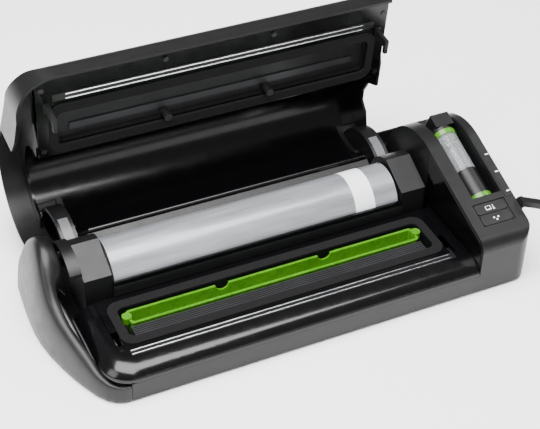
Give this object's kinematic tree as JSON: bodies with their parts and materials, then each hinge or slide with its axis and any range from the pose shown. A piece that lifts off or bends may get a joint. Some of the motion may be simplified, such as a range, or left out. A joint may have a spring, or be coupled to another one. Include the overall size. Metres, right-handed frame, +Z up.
{
  "type": "vacuum sealer",
  "caption": "Countertop vacuum sealer with a hinged lid over a film roll bay, seal bar, drip tray in a gasketed channel, control tower and docked handheld sealer",
  "frame": {"origin": "on the table plane, straight below the middle of the base's seal bar", "axes": "+X along the seal bar towards the control tower, +Y to the back where the hinge is, +Z up"},
  "size_m": [0.4607, 0.2617, 0.2048],
  "materials": {
    "body_grey": "fine satin texture",
    "gloss_black": "polished",
    "satin_black": "smooth satin",
    "foam": "fine closed-cell foam",
    "lime": "translucent moulded",
    "ledge_grey": "ribbed satin",
    "film": "embossed clear film, wound",
    "tape_white": "smooth",
    "core_card": "plain",
    "wire": "bright ribbon",
    "steel": "zinc plated",
    "black_steel": "black oxide",
    "rubber": "matt",
    "light_grey": "satin",
    "panel_black": "satin",
    "print_white": "pad print",
    "clear": "clear moulded",
    "board": "solder mask",
    "motor": "drawn can",
    "laminate": "laminated core"
  },
  "bodies": {
    "base": {"base_pan": "body_grey", "left_end_cap": "body_grey", "front_bezel": "gloss_black", "deck_plate": "gloss_black", "lower_gasket": "foam", "seal_bar": "satin_black", "base_seal_wires": "wire", "vacuum_channel": "satin_black", "channel_ledge": "ledge_grey", "tower_side_plate": "gloss_black", "roll_trough": "satin_black", "roll_rails": "gloss_black", "shoulder_blocks": "body_grey", "hinge_drums": "satin_black", "drum_insets": "light_grey", "rear_cover": "satin_black", "left_bay_strip": "body_grey", "control_housing": "body_grey", "slot_liner": "satin_black", "button_panel": "panel_black", "mark_strip": "panel_black", "position_marks": "print_white", "vacuum_pump": "satin_black", "pump_motor": "motor", "air_hose": "rubber", "transformer": "laminate", "circuit_board": "board", "power_inlet": "satin_black", "feet": "rubber", "base_screws": "black_steel"},
    "lid": {"lid_shell": "body_grey", "lid_end_web": "gloss_black", "lid_panel": "gloss_black", "lid_recess": "satin_black", "recess_strip": "ledge_grey", "upper_gasket": "foam", "lid_seal_pad": "satin_black", "lid_seal_strips": "wire", "lid_liner": "gloss_black", "lid_pegs": "satin_black", "lid_hooks": "satin_black", "lid_screws": "black_steel", "lid_hinge_arms": "satin_black", "hinge_pins": "steel"},
    "tray": {"drip_tray": "lime"},
    "core": {"roll_core": "core_card"},
    "film": {"film_roll": "film", "roll_tape": "tape_white"},
    "handheld": {"handheld_nozzle": "rubber", "handheld_rings": "lime", "handheld_body": "body_grey", "handheld_tank": "clear", "handheld_piston": "satin_black", "handheld_cap": "body_grey"},
    "lever": {"latch_lever": "satin_black"},
    "latch": {"latch_bar": "steel"},
    "vacuum_key": {"vacuum_button": "panel_black", "vacuum_button_icon": "print_white"},
    "seal_key": {"seal_button": "panel_black", "seal_button_icon": "print_white"}
  },
  "joints": [
    {"name": "lid_hinge", "type": "hinge", "parent": "base", "child": "lid", "pos_m": [0, 0.165, 0.0145], "axis": [1, 0, 0], "range_deg": [0, 84]},
    {"name": "lever_swing", "type": "hinge", "parent": "base", "child": "lever", "pos_m": [0.228, 0.04, 0.0215], "axis": [-1, 0, 0], "range_deg": [0, 60]},
    {"name": "latch_slide", "type": "slide", "parent": "base", "child": "latch", "axis": [0, -1, 0], "range_m": [0, 0.008]},
    {"name": "tray_lift", "type": "slide", "parent": "base", "child": "tray", "axis": [0, 0, -1], "range_m": [-0.06, 0]},
    {"name": "roll_lift", "type": "slide", "parent": "base", "child": "core", "axis": [0, 0, -1], "range_m": [-0.09, 0]},
    {"name": "film_spin", "type": "hinge", "parent": "core", "child": "film", "pos_m": [0, 0.101, 0.0395], "axis": [1, 0, 0], "continuous": true},
    {"name": "handheld_lift", "type": "slide", "parent": "base", "child": "handheld", "axis": [0, 0.3261, -0.9453], "range_m": [-0.045, 0]},
    {"name": "vacuum_press", "type": "slide", "parent": "base", "child": "vacuum_key", "axis": [0, 0.3261, -0.9453], "range_m": [0, 0.0012], "stiffness_N_per_m": 800},
    {"name": "seal_press", "type": "slide", "parent": "base", "child": "seal_key", "axis": [0, 0.3261, -0.9453], "range_m": [0, 0.0012], "stiffness_N_per_m": 800}
  ],
  "couplings": [
    {"joint": "latch_slide", "follows": "lever_swing", "m_per_rad": 0.00763}
  ]
}
